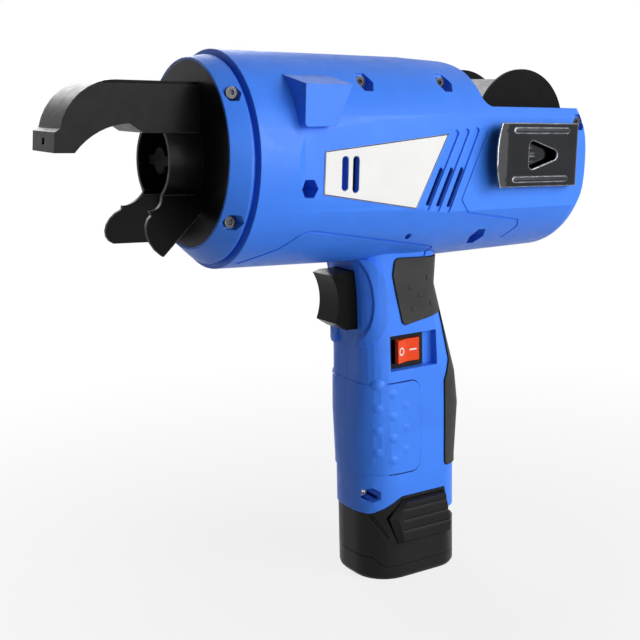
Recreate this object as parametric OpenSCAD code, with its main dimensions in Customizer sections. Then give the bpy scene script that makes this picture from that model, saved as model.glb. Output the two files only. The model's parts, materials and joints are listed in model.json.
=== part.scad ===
// Hand-held rebar tying tool with a clam-shell housing, wire feed, twist drive and stick battery.
// Millimetres. +X is forward, +Y is the tool's left and +Z is up.
// The origin is the middle of the battery's flat base.

/* [Barrel] */
// Height of the barrel axis over the base, at the barrel's own zero
barrel_h = 215; // [205:1:230]
// Distance of the barrel's zero ahead of the base's middle
barrel_x = 15; // [5:1:25]
// Nose-up pitch of the barrel, in degrees
barrel_pitch = 3.1; // [0:0.1:6]
// Radius of the round barrel
barrel_r = 50; // [48:0.5:54]
// Front rim ahead of the barrel's zero
barrel_front = 86.5; // [84:0.5:94]
// Radius where the rear corner starts
barrel_rear_r = 46; // [44:0.1:48]
// Radius of the rear corner
rear_corner_r = 9; // [6:1:16]
// Wall of the housing behind the spool bay
rear_wall = 2.7; // [2:0.1:6]
// Wall of the moulded housing
wall = 2.8; // [2:0.1:3.5]

/* [Spool bay] */
// Front edge of the spool deck behind the barrel's zero
deck_front = 42; // [40:0.5:45]
// Height of the spool deck over the barrel axis
deck_h = 27; // [24:0.5:30]
// Radius of the spool's flanges
spool_r = 28; // [24:0.5:29]
// Half the width of the spool over its flanges
spool_half_w = 25; // [20:0.5:26]
// Spool centre behind the barrel's zero
spool_x = 77.7; // [76:0.1:79]
// Spool centre over the barrel axis
spool_z = 17.9; // [15:0.1:20]
// Radius of the plain core of wound wire
wire_core_r = 22; // [16:0.5:24]
// Diameter of the tying wire
wire_d = 0.8; // [0.6:0.1:1]
// Turns in the outer layer of wire
wire_turns = 20; // [12:1:22]

/* [Nose] */
// Step from the barrel's radius in to the black nose plate
plate_inset = 8.1; // [8:0.1:12]
// Rise of the nose plate's centre over the barrel axis
plate_rise = 2.7; // [0:0.1:3]
// Length of the collar ahead of the groove
collar_len = 9.5; // [8:0.5:12]
// Half the width of the curl arm
arm_half_w = 13.6; // [10:0.1:14]
// Reach of the curl arm ahead of the nose plate
arm_reach = 67; // [60:1:75]
// Height of the arm's top over the barrel axis
arm_top = 35; // [33:0.5:36]
// Outer radius of the throat tube
throat_r = 18.4; // [17.5:0.1:19]
// Length of the throat tube ahead of the nose plate
throat_len = 16.4; // [14:0.2:20]
// Sheet thickness of the throat and its wings
throat_wall = 1.8; // [1.2:0.1:2]

/* [Grip] */
// Half the depth of the grip, front to back
grip_half_l = 30; // [28:0.5:33]
// Half the width of the grip
grip_half_w = 22.5; // [22.2:0.1:25]
// Front corner radius of the grip
grip_front_round = 12; // [8:0.5:14]
// Back corner radius of the grip
grip_back_round = 15; // [10:0.5:18]
// Wall of the grip
grip_wall = 2.6; // [2.2:0.1:2.7]
// Thickness of the rubber pads
pad_t = 2.4; // [2:0.1:2.6]
// How far the rubber pads stand proud
pad_proud = 0.9; // [0.4:0.1:1.2]

/* [Trigger and switch] */
// Half the width of the trigger
trigger_half_w = 9; // [7:0.5:9.5]
// Height of the trigger
trigger_h = 29; // [26:0.5:30]
// Travel of the trigger
trigger_travel = 5; // [3:0.5:5.5]
// Width of the rocker
rocker_w = 16; // [14:0.5:17]
// Height of the rocker
rocker_h = 11.6; // [10:0.2:12]

/* [Battery] */
// Height of the battery's base cap at the front
base_h = 12; // [10:0.5:13]
// Height of the housing's edge at the front of the battery
parting_front = 36; // [34:0.5:37]
// Height of the housing's edge over the latches
parting_back = 44.5; // [44:0.5:47]
// Radius of a round cell
cell_r = 9.1; // [8.8:0.05:9.2]
// Length of a round cell
cell_len = 65; // [60:0.5:66]
// Travel of a side latch
latch_travel = 2.2; // [1.5:0.1:2.4]

/* [Hidden] */
$fn = 64;

// Clearances and cuts
over = 1;
seam = 0.05;
fit = 0.15;
run = 0.05;
slip = 0.35;

// Colours
blue = "#2f6fe0";
black = "#1c1c1e";
steel = "#a9adb2";
grey = "#4a4a4c";

// Bends and small edges
arc_steps = 8;
deck_fillet = 5;
deck_round = 8;
edge = 1.2;

// Spool bay, and the barrel's rear end behind it
flange_t = 1.5;
hub_r = 9;
axle_r = 5;
bay_gap = 1.6;
bay_wall = 2.4;
bay_half_w = spool_half_w + bay_gap;
bay_front = -spool_x + spool_r + bay_gap;
bay_rear = -spool_x - spool_r - bay_gap;
bay_floor = spool_z - spool_r - bay_gap;
barrel_rear = rear_wall - bay_rear;

// Barrel details
taper_start = 15;
flat_ramp = 5.9;
flat_front = 69.5;
flat_inset = 1.9;
flat_rear_inset = 6.1;
flat_front_y = barrel_r - flat_inset;
flat_rear_y = barrel_rear_r - flat_rear_inset;
flat_x = flat_front - flat_ramp;
flat_angle = atan2(flat_front_y - flat_rear_y, flat_x + barrel_rear + over);
groove_w = 1.9;
groove_depth = 5;
collar_step = 2.5;
collar_r = barrel_r - collar_step;
collar_back = barrel_front + groove_w;
nose_x = collar_back + collar_len;
plate_t = 7;
plate_r = barrel_r - plate_inset;
plate_back = nose_x - plate_t;
shoulder_w = 6;
rim_t = 1.3;

// Wire line, feed rollers and gears
wire_r = wire_d / 2;
wire_z = 28;
gear_mod = 0.8;
gear_add_share = 0.85;
gear_ded_share = 1.15;
gear_add = gear_add_share * gear_mod;
gear_ded = gear_ded_share * gear_mod;
gear_t = 3.6;
pinion_teeth = 12;
feed_teeth = 36;
feed_x = 2;
roller_r = 9;
roller_t = 4.6;
press_r = 7;
feed_y = -(roller_r + wire_r);
press_y = press_r + wire_r + run;
feed_centres = gear_mod * (pinion_teeth + feed_teeth) / 2;
feed_motor_x = feed_x - feed_centres;
feed_motor_r = 14;
feed_motor_len = 38;
shaft_r = 3;
frame_t = 2.5;
frame_top = wire_z - roller_t / 2 - slip;
frame_back = feed_motor_x - feed_motor_r;
frame_reach = 16;
frame_front = feed_x + frame_reach;
frame_half_w = 30;
feed_gear_top = frame_top - frame_t - slip;
feed_motor_top = feed_gear_top - gear_t - slip;
post_r = 2;
post_ring = 10;
lever_t = 2;
lever_z = wire_z + roller_t / 2 + slip;
lever_pivot_shares = [0.83, 1.04];
lever_tail_shares = [-0.573, 0.625];
lever_pivot = feed_centres * lever_pivot_shares;
lever_tail = feed_centres * lever_tail_shares;
lever_half_w = 4;
spring_r = 3;
spring_wire_r = 0.4;

// Twist drive
sun_teeth = 12;
planet_teeth = 18;
ring_teeth = sun_teeth + 2 * planet_teeth;
planet_orbit = gear_mod * (sun_teeth + planet_teeth) / 2;
ring_out_r = 23;
ring_back = 50;
ring_len = 16;
ring_floor = 2;
planet_t = 8;
planet_x = ring_back + ring_floor + over;
pin_r = 2;
carrier_r = 16.4;
carrier_t = 3;
carrier_x = planet_x + planet_t + slip;
carrier_hub_r = 9;
carrier_hub_len = 10;
twist_r = 6;
motor_r = 18;
motor_len = 46;
motor_x = ring_back - motor_len;
motor_shaft_r = 2.5;
bearing_r = 14;
bearing_w = 8;
boss_wall = 4;
boss_r = bearing_r + boss_wall;
hook_r = 13;
hook_ring = 4.5;
hook_t = 7;
hook_reach = 6;
hook_x = nose_x + hook_reach;

// Cutter behind the nose plate
cutter_t = 3;
cutter_pivot_shares = [0.334, 0.597];
cutter_pivot = plate_r * cutter_pivot_shares;
cutter_pin_r = 3;
cutter_reach = 15;
cutter_half_w = 3;
cutter_tail = 15;
cutter_lift = 30;
cutter_tail_angle = -55;
guide_r = 2;
guide_bore_r = 0.9;
guide_front = plate_back - cutter_t - 3 * slip;

// Control board
board_z_share = -0.6;
board_half_share = 0.6;
board_z = board_z_share * barrel_r;
board_t = 1.6;
board_half_w = board_half_share * barrel_r;
board_room = 7;
chip_h_shares = [0.36, 0.5, 0.29];
chip_shares = [[0.2, 0.4], [0.5, -0.4], [0.75, 0.3]];
board_shares = [-0.28, 0.53];
board_x = barrel_front * board_shares;

// Curl arm: bends as shares of its reach, heights as shares of its top
arm_bend_share = 0.38;
arm_bend_x_share = 0.584;
arm_inner_share = 0.49;
arm_inner_shares = [0.478, -0.242];
arm_tip_shares = [0.995, 0.36, 0.115];
arm_root_shares = [0.4, 0.36];
arm_bend_end = 10;
arm_inner_ends = [38, 88];
arm_bend_r = arm_bend_share * arm_reach;
arm_inner_r = arm_inner_share * arm_reach;
arm_groove_w = 3;
arm_groove_depth = 3;

// Wings of the throat, in shares of the throat's radius
wing_waist_share = 0.6;
wing_tip_shares = [1.72, -2.2];
wing_fillet_share = 0.47;
wing_fillet_drop_share = 0.68;
wing_nose_share = 0.53;
wing_nose_shares = [1.08, -1.7];
left_wing_cut_shares = [[0, -1.2], [1.45, -2.2], [1.45, -3], [0, -3]];

// Shell screws along Y: place along the barrel, height and seat as shares of front and radius
screw_shares = [[0.28, 0.735, 0.56], [-0.257, 0.75, 0.54], [0.705, -0.205, 0.72], [-0.545, -0.74, 0.4],
  [-1.197, 0.4, 0.72]];
nose_screw_shares = [[0.61, 0.66], [-0.5, 0.66]];
screw_head_r = 2.7;
screw_head_h = 2;
screw_r = 1.5;
screw_len = 8;
screw_bite = 8;
screw_bore_r = screw_r + run;
socket_r = 1.3;
pocket_r = 4.6;
screw_boss_r = 3.7;
grip_screw_inset = 5;
grip_screw_rise = 10;
grip_screw = [grip_half_l - grip_screw_inset, parting_front + grip_screw_rise];
grip_screw_seat = 6;
grip_pocket_r = 3.9;

// Raised block on the left shoulder: along in shares of the barrel's front, up and out in shares of
// its radius
block_side_shares = [[0.767, 0.335], [0.767, 0.9], [0.47, 0.9], [0.488, 0.71], [0.579, 0.345]];
block_front_shares = [[0.44, 0], [1.04, 0], [1.04, 0.704], [0.44, 0.818]];
block_round = 2;

// Label and vents on the side flat: along from its front corner in shares of the barrel's front, up in
// shares of its radius
label_t = 0.5;
label_shares = [[-0.12, 0.124], [-0.116, -0.262], [-0.724, -0.416], [-0.932, 0.28]];
slot_r = 1.75;
slot_shares = [[-0.245, 0.045, -0.195], [-0.314, 0.045, -0.215]];
vent_r = 1.6;
vent_depth = 0.9;
vent_count = 3;
vent_pitch = 6.4;
vent_grow = 0.6;
vent_top_shares = [-0.99, 0.285];
vent_bottom_shares = [-0.803, -0.41];
vent_slot_shares = [0.5, 0.94];

// Panel lines and a drain hole on the barrel: along in shares of its front, up in shares of its radius
line_r = 0.45;
line_depth = 0.5;
rear_line_shares = [[-0.48, 0.3], [-0.31, -0.346], [-0.363, -0.474], [-0.784, -0.574], [-0.81, -0.646],
  [-0.762, -0.764]];
lower_line_shares = [[0.953, -0.906], [0.778, -0.76], [0.689, -0.622], [0.629, -0.598], [-0.232,
  -0.818], [-0.268, -0.842], [-0.251, -0.958]];
hole_shares = [-0.021, -0.696];
hole_r = 1.5;

// Belt clip: along from the flat's front corner in shares of the flat's length
flat_len = flat_x + barrel_rear;
clip_t = 1.2;
clip_gap = 3.4;
clip_h = 31;
clip_z = 4;
clip_end_shares = [-0.937, -0.653];
clip_leg_share = -0.698;
clip_rib_shares = [-0.885, -0.685];
clip_screw_share = -0.755;
clip_window_shares = [-0.737, -0.848];
clip_window_h_share = 0.223;
clip_window_r = 2.5;
clip_rear = clip_end_shares[0] * flat_len;
clip_front = clip_end_shares[1] * flat_len;
clip_leg_front = clip_leg_share * flat_len;
clip_rib_x = clip_rib_shares * flat_len;
clip_screw_x = clip_screw_share * flat_len;
clip_lip = 10.5;
clip_lip_angle = 22;
clip_lip_bulge = 4;
clip_rib_r = 1.2;
clip_rib_inset = 3.6;
clip_rib_sink = 0.2;
clip_screw_head_r = 3.6;

// Grip sections: height, front, back, half width and front corner, as shares of top, half depth, half
// depth, half width and front corner radius
grip_top = barrel_h - barrel_r / 2;
grip_shares = [[0.17, 0.98, 0.96, 1.02, 1.5], [0.316, 0.985, 0.975, 1, 1.5],
  [0.458, 0.973, 1.045, 1, 1.25], [0.547, 0.93, 0.985, 1, 1.08], [0.684, 0.915, 0.755, 0.975, 1],
  [0.795, 0.925, 0.575, 0.955, 1], [0.874, 0.98, 0.6, 0.98, 1], [1, 1.1, 0.75, 1.08, 1]];
corner_steps = 6;

// Side outlines on the grip: along in shares of its half depth, up in shares of its top
pad_shares = [[0.46, 0.884], [-2, 0.86], [-2, 0.292], [-0.54, 0.292], [-0.54, 0.535], [-0.69, 0.59],
  [-0.58, 0.722],
  [0.3, 0.7], [0.5, 0.84]];
pad_round = 3;
panel_shares = [[2, 0.547], [-0.02, 0.55], [-0.02, 0.302], [2, 0.3]];
panel_round = 5;
panel_proud = 0.7;
ear_r_shares = [1, 1.41];
ear_centre_shares = [1.567, 0.768];
ear_shift_share = 0.65;
ear_end_shares = [0.642, 0.884];
ear_proud = 1.6;
ear_centre = [ear_centre_shares[0] * grip_half_l, ear_centre_shares[1] * grip_top];
ear_outer_r = ear_r_shares[0] * grip_half_l;
ear_inner_r = ear_r_shares[1] * grip_half_l;
ear_shift = ear_shift_share * grip_half_l;
ear_z = ear_end_shares * grip_top;
// Finger bumps: place along, lowest height and number in each column
bump_r = 2.4;
bump_h = 0.6;
bump_pitch = 11.5;
bump_shares = [[0.267, 0.365], [0.517, 0.34], [0.78, 0.365]];
bump_rows = [3, 4, 4];

// Trigger and its switch
trigger_drop = 3.95;
trigger_z = barrel_h - barrel_r - trigger_drop - trigger_h;
trigger_reach = 8;
trigger_front = grip_half_l + trigger_reach;
trigger_lip = 4;
trigger_hollow_r = 26;
trigger_depth = 9;
trigger_back = grip_half_l - trigger_depth;
trigger_round = 5;
plunger_r = 2.2;
spring_room = 4;
switch_front = trigger_back - trigger_travel - spring_room;
switch_len = 19;
switch_half_w = 8;
switch_h = 20;
peg_r = 1.6;
peg_shares = [[0.25, 0.3], [0.75, -0.3]];

// Rocker switch on the left of the grip
rocker_shares = [0.167, 0.63];
rocker_x = rocker_shares[0] * grip_half_l;
rocker_z = rocker_shares[1] * grip_top;
recess_l = [11.5, 17];
recess_h = 18;
recess_depth = 5.5;
recess_floor = grip_half_w - recess_depth;
bezel_t = 1.2;
bezel_rim = 1.4;
case_depth = 13;
rocker_tilt = 9;
rocker_rise = 2.4;
rocker_dip = 1;
rocker_pin_r = 1;
rocker_sink = 1.2;
rocker_pivot_y = recess_floor - rocker_sink;

// Battery stem and latches
stem_gap = 0.6;
stem_half_w = grip_half_w - grip_wall - stem_gap;
stem_rise = 7;
stem_top = base_h + cell_len + stem_rise;
stem_shares = [-0.633, 0.6];
stem_x = stem_shares * grip_half_l;
stem_round = 8;
cell_floor = 3;
cell_z = base_h + cell_floor;
cell_back_share = -0.267;
cell_back_x = cell_back_share * grip_half_l;
cell_row = cell_r + fit;
base_seam = 0.4;
base_chamfer = 1.2;
battery_front_share = 0.955;
notch_shares = [0.867, 0.367, -0.54, -0.687];
notch_drop_share = 0.57;
latch_foot_shares = [[0.627, 0.762], [0.36, 0.955], [-0.513, 0.955], [-0.633, 0.57], [-0.613, 0.44],
  [0.45, 0.44]];
latch_face_shares = [[0.49, 0.742], [0.313, 0.935], [-0.493, 0.935], [-0.6, 0.58], [-0.583, 0.472],
  [0.39, 0.472]];
latch_foot = scaled(latch_foot_shares, [grip_half_l, parting_back]);
latch_face = scaled(latch_face_shares, [grip_half_l, parting_back]);
slash_shares = [[0.84, 0.773], [0.637, 0.526]];
slash_r = 0.9;
slash_depth = 0.8;
seam_drop = 5;
seam_shares = [0.847, 0.68];
latch_proud = 3.4;
latch_seat = 19.7;
latch_groove_r = 1.1;
latch_groove_shares = [0.6, 0.73, 0.86];
contact_t = 1;
contact_w = 6;
contact_h = 7;
contact_shares = [-0.44, 0, 0.44];
contact_y = contact_shares * grip_half_w;
block_h = 12;

// Points and paths
function arc(centre, r, a0, a1, steps = arc_steps) =
  [for (i = [0:steps]) centre + r * [cos(a0 + (a1 - a0) * i / steps), sin(a0 + (a1 - a0) * i / steps)]];
function scaled(shares, size) = [for (s = shares) [s[0] * size[0], s[1] * size[1]]];
function polar(r, a) = r * [cos(a), sin(a)];
// Teeth as a ring of points: half widths are shares of the pitch at root and tip
function gear_points(teeth, add, ded, root_share = 0.31, tip_share = 0.12) =
  let (r = gear_mod * teeth / 2, p = 360 / teeth)
  [for (i = [0:teeth - 1]) each [polar(r - ded, (i - root_share) * p), polar(r + add, (i - tip_share) * p),
    polar(r + add, (i + tip_share) * p), polar(r - ded, (i + root_share) * p)]];

module in_barrel() {
  translate([barrel_x, 0, barrel_h]) rotate([0, -barrel_pitch, 0]) children();
}
module on_flat() {
  in_barrel() translate([flat_x, flat_front_y, 0]) rotate([0, 0, flat_angle]) children();
}
module x_rod(r, x0, x1) {
  translate([x0, 0, 0]) rotate([0, 90, 0]) cylinder(r = r, h = x1 - x0);
}
module y_rod(r, y0, y1) {
  translate([0, y0, 0]) rotate([-90, 0, 0]) cylinder(r = r, h = y1 - y0);
}
module z_rod(r, z0, z1) {
  translate([0, 0, z0]) cylinder(r = r, h = z1 - z0);
}
// An outline in X and Z, drawn through from y0 to y1
module side_extrude(y0, y1) {
  translate([0, y1, 0]) rotate([90, 0, 0]) linear_extrude(y1 - y0) children();
}
// An outline in Y and Z, drawn through from x0 to x1
module front_extrude(x0, x1) {
  translate([x0, 0, 0]) rotate([90, 0, 90]) linear_extrude(x1 - x0) children();
}
module block(low, high) {
  translate(low) cube(high - low);
}
module half_space(side) {
  reach = barrel_front + barrel_rear + arm_reach;
  y = side > 0 ? seam : -seam - reach;
  translate([-reach, y, -over]) cube([2 * reach, reach, 2 * reach]);
}
module rounded_rect(l, w, r) {
  for (x = [-1, 1], y = [-1, 1]) translate([x * (l / 2 - r), y * (w / 2 - r)]) circle(r);
  square([l - 2 * r, w], center = true);
  square([l, w - 2 * r], center = true);
}
module obround(a, b, r) {
  turn = atan2(b[1] - a[1], b[0] - a[0]);
  polygon(concat(arc(b, r, turn - 90, turn + 90), arc(a, r, turn + 90, turn + 270)));
}

// An outline with its outer corners rounded to r
module rounded(r) {
  offset(r = r) offset(delta = -r) children();
}

// Closed skin through a stack of rings that each run the same way round
module loft(rings) {
  n = len(rings[0]);
  m = len(rings);
  sides = [for (i = [0:m - 2], j = [0:n - 1])
    let (a = i * n + j, b = i * n + (j + 1) % n)
    each [[a, a + n, b + n], [a, b + n, b]]];
  polyhedron([for (r = rings) each r],
    concat(sides, [[for (j = [0:n - 1]) j]], [[for (j = [n - 1:-1:0]) (m - 1) * n + j]]));
}
function grip_ring(z, front, back, half_w, front_round, grow) =
  let (f = front_round + grow, b = grip_back_round + grow, w = half_w + grow,
    corners = [[front + grow - f, w - f, f, 0], [-back - grow + b, w - b, b, 90],
      [-back - grow + b, -w + b, b, 180], [front + grow - f, -w + f, f, 270]])
  [for (c = corners, i = [0:corner_steps])
    let (a = c[3] + 90 * i / corner_steps) [c[0] + c[2] * cos(a), c[1] + c[2] * sin(a), z]];
function grip_level(s, grow) = grip_ring(s[0] * grip_top, s[1] * grip_half_l, s[2] * grip_half_l,
  s[3] * grip_half_w, s[4] * grip_front_round, grow);
module grip_form(grow = 0) {
  loft([for (s = grip_shares) grip_level(s, grow)]);
}

// Tube of six sides along a path of points
function tube_ring(p, along, r) =
  let (t = along / norm(along), up = abs(t[2]) < 0.9 ? [0, 0, 1] : [1, 0, 0],
    u = cross(t, up) / norm(cross(t, up)), v = cross(u, t))
  [for (k = [0:5]) p + r * (cos(60 * k) * u + sin(60 * k) * v)];
module tube(path, r) {
  last = len(path) - 1;
  loft([for (i = [0:last]) tube_ring(path[i], path[min(i + 1, last)] - path[max(i - 1, 0)], r)]);
}
// A coil about Z whose ends run straight on for one tube diameter
function coil_path(r, pitch, turns, steps, d) =
  let (body = [for (i = [0:turns * steps]) let (a = 360 * i / steps) [r * cos(a), r * sin(a),
    pitch * i / steps]],
    n = len(body) - 1, t0 = body[0] - body[1], t1 = body[n] - body[n - 1])
  concat([body[0] + d * t0 / norm(t0)], body, [body[n] + d * t1 / norm(t1)]);
// Least clear gap between a coil's neighbouring turns, measured on its points
function coil_gap(path, steps, d) = min([for (i = [1:len(path) - steps - 2])
  norm(path[i + steps] - path[i])]) - d;

// The barrel: a turned form with two flat sides that draw in to the rear
module barrel_form(inset = 0) {
  r = barrel_r - inset;
  rc = rear_corner_r - inset;
  rear = -barrel_rear + inset;
  front = barrel_front - inset;
  flat_y = flat_front_y - inset;
  intersection() {
    rotate([0, 90, 0]) rotate_extrude($fn = 96) polygon(concat([[0, front], [r, front], [r, -taper_start]],
      arc([barrel_rear_r - rear_corner_r, rear + rc], rc, 0, -90), [[0, rear]]));
    translate([0, 0, -barrel_r - over]) linear_extrude(2 * (barrel_r + over)) polygon([
      [barrel_front + over, r + over], [flat_front, r + over], [flat_x, flat_y], [-barrel_rear - over,
        flat_rear_y - inset],
      [-barrel_rear - over, inset - flat_rear_y], [flat_x, -flat_y], [flat_front, -r - over],
        [barrel_front + over, -r - over]]);
  }
}
module deck_cut() {
  side_extrude(-barrel_r - over, barrel_r + over) polygon(concat(
    [[-barrel_rear - over, deck_h]],
    arc([-deck_front - deck_fillet, deck_h + deck_fillet], deck_fillet, -90, 0),
    arc([-deck_front + deck_round, barrel_r - deck_round], deck_round, 180, 90),
    [[-deck_front + deck_round, barrel_r + over], [-barrel_rear - over, barrel_r + over]]));
}
module collar_form() {
  x_rod(collar_r - groove_depth / 2, barrel_front - over, collar_back + over);
  hull() {
    x_rod(collar_r, collar_back, collar_back + edge);
    translate([0, 0, plate_rise]) x_rod(plate_r + rim_t, nose_x - edge, nose_x);
  }
}
// Raised block on the shoulder, flat outside and with a top that rises inwards
module shoulder_block() {
  intersection() {
    side_extrude(0, 2 * barrel_r) rounded(block_round) polygon(scaled(block_side_shares, [barrel_front,
      barrel_r]));
    front_extrude(0, barrel_front) polygon(block_front_shares * barrel_r);
  }
}
module bay_block() {
  block([bay_rear - bay_wall, -bay_half_w - bay_wall, bay_floor - bay_wall], [bay_front + bay_wall,
    bay_half_w + bay_wall, deck_h]);
}
module bay_cut() {
  block([bay_rear, -bay_half_w, bay_floor], [bay_front, bay_half_w, barrel_r]);
}
// Inside of the barrel, round the bay and under the deck
module barrel_cavity() {
  difference() {
    union() {
      barrel_form(wall);
      x_rod(plate_r - shoulder_w, barrel_front - wall - over, plate_back + over);
    }
    block([-barrel_rear - over, -barrel_r, deck_h - wall], [-deck_front + wall, barrel_r, barrel_r]);
    bay_block();
    block([-barrel_rear, -barrel_r, -barrel_r], [bay_rear, barrel_r, barrel_r]);
  }
}
// Frames moulded inside the barrel that carry the drives
module bulkhead(x, r, z_top) {
  difference() {
    intersection() {
      barrel_form(wall / 2);
      block([x - wall / 2, -barrel_r, -barrel_r], [x + wall / 2, barrel_r, z_top]);
    }
    x_rod(r + fit, x - wall, x + wall);
    block([x - wall, -board_half_w - fit, board_z - over], [x + wall, board_half_w + fit,
      board_z + board_room]);
    translate([0, 0, wire_z]) x_rod(guide_r + fit, x - wall, x + wall);
  }
}
module barrel_frames() {
  bulkhead(ring_back + wall, ring_out_r, barrel_r);
  bulkhead(ring_back + ring_len - wall, ring_out_r, barrel_r);
  bulkhead(motor_x + wall, motor_r, motor_r / 2);
  bulkhead(motor_x + motor_len - 3 * wall, motor_r, motor_r / 2);
  ledge_top = frame_top - frame_t;
  intersection() {
    barrel_form(wall / 2);
    for (s = [-1, 1]) {
      block_y = s > 0 ? [frame_half_w - wall, barrel_r] : [-barrel_r, wall - frame_half_w];
      block([frame_back, block_y[0], ledge_top - wall], [frame_front, block_y[1], ledge_top]);
      board_y = s > 0 ? [board_half_w - wall, barrel_r] : [-barrel_r, wall - board_half_w];
      block([board_x[0], board_y[0], board_z - wall], [board_x[1], board_y[1], board_z]);
    }
  }
  for (s = [-1, 1]) translate([-spool_x, 0, spool_z])
    y_rod(axle_r + wall, s > 0 ? bay_half_w : -bay_half_w - 2 * bay_wall,
      s > 0 ? bay_half_w + 2 * bay_wall : -bay_half_w);
}
function screw_place(s) = [s[0] * barrel_front, s[2] * barrel_r, s[1] * barrel_r];
// Screws clear of the gear case go through to the other half
function goes_through(s) = abs(s[1]) * barrel_r > ring_out_r || s[0] * barrel_front < bay_rear;
function screw_reach(s) = goes_through(s) ? s[2] * barrel_r + screw_bite : screw_len;
function nose_screw_place(s) = [collar_back + collar_len / 2, s[1] * barrel_r, s[0] * barrel_r];
module screw_bosses() {
  intersection() {
    barrel_form(wall / 2);
    for (s = screw_shares) let (p = screw_place(s)) translate([p[0], 0, p[2]])
      y_rod(pocket_r + wall / 2, goes_through(s) ? -barrel_r : p[1] - screw_len, barrel_r);
  }
}
module screw_cuts(side) {
  for (s = screw_shares) let (p = screw_place(s)) translate([p[0], 0, p[2]]) {
    y_rod(screw_bore_r, p[1] - screw_reach(s) - over, p[1] + over);
    if (side > 0) translate([0, p[1], 0]) rotate([-90, 0, 0]) cylinder(r = pocket_r, h = barrel_r, $fn = 6);
  }
  for (s = nose_screw_shares) let (p = nose_screw_place(s)) translate([p[0], 0, p[2]]) {
    for (m = [0, 1]) mirror([0, m, 0]) {
      y_rod(screw_bore_r, 0, barrel_r);
      translate([0, p[1], 0]) rotate([-90, 0, 0]) cylinder(r = pocket_r - wall / 4, h = barrel_r, $fn = 6);
    }
  }
}
// Thin grooves along lines of points, cut to one depth below the barrel's skin
module panel_lines() {
  difference() {
    for (line = [rear_line_shares, lower_line_shares]) let (p = scaled(line, [barrel_front, barrel_r]))
      for (i = [0:len(p) - 2]) side_extrude(0, barrel_r) obround(p[i], p[i + 1], line_r);
    barrel_form(line_depth);
  }
  translate([hole_shares[0] * barrel_front, 0, hole_shares[1] * barrel_r])
    y_rod(hole_r, barrel_r / 2, barrel_r);
}
module label_slots(y0, y1) {
  for (s = slot_shares) let (x = s[0] * barrel_front)
    side_extrude(y0, y1) obround([x, s[1] * barrel_r], [x, s[2] * barrel_r], slot_r);
}
module flat_cuts() {
  label_slots(-2 * wall, over);
  ends = scaled([vent_top_shares, vent_bottom_shares], [barrel_front, barrel_r]);
  for (i = [0:vent_count - 1]) let (a = ends[0] + i * [-vent_pitch, vent_grow],
    b = ends[1] - i * [vent_pitch, vent_grow]) {
    side_extrude(-vent_depth, over) obround(a, b, vent_r);
    side_extrude(-2 * wall, over) obround(a + vent_slot_shares[0] * (b - a),
      a + vent_slot_shares[1] * (b - a), vent_r - edge / 4);
  }
  translate([clip_screw_x, 0, clip_z]) y_rod(screw_bore_r, -2 * wall, over);
}
// The grip: side outline of the housing's lower edge, over the battery
module parting(gap = 0) {
  offset(delta = gap) polygon([[2 * grip_half_l, parting_front], [notch_shares[0] * grip_half_l,
    parting_front],
    [notch_shares[1] * grip_half_l, parting_back], [notch_shares[2] * grip_half_l, parting_back],
    [notch_shares[3] * grip_half_l, notch_drop_share * parting_back], [-2 * grip_half_l,
      notch_drop_share * parting_back],
    [-2 * grip_half_l, -2 * over], [2 * grip_half_l, -2 * over]]);
}
module pad_outline() {
  rounded(pad_round) polygon(scaled(pad_shares, [grip_half_l, grip_top]));
}
module ear_outline() {
  difference() {
    translate(ear_centre) circle(ear_outer_r);
    translate(ear_centre + [ear_shift, 0]) circle(ear_inner_r);
    translate([0, ear_z[1]]) square(4 * ear_outer_r, center = false);
    translate([-2 * ear_outer_r, ear_z[0] - 4 * ear_outer_r]) square(4 * ear_outer_r);
  }
}
// Share of a grip section's column at that height
function grip_share(column, z) = lookup(z / grip_top, [for (s = grip_shares) [s[0], s[column]]]);
// Where a bump sits on the panel: along, out to the side, and its lean towards the front
function bump_seat(x, z) =
  let (f = grip_share(4, z) * grip_front_round, r = f + panel_proud,
    dx = max(0, x - grip_share(1, z) * grip_half_l + f), a = asin(dx / r))
  [x, grip_share(3, z) * grip_half_w - f + r * cos(a), a];
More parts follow.
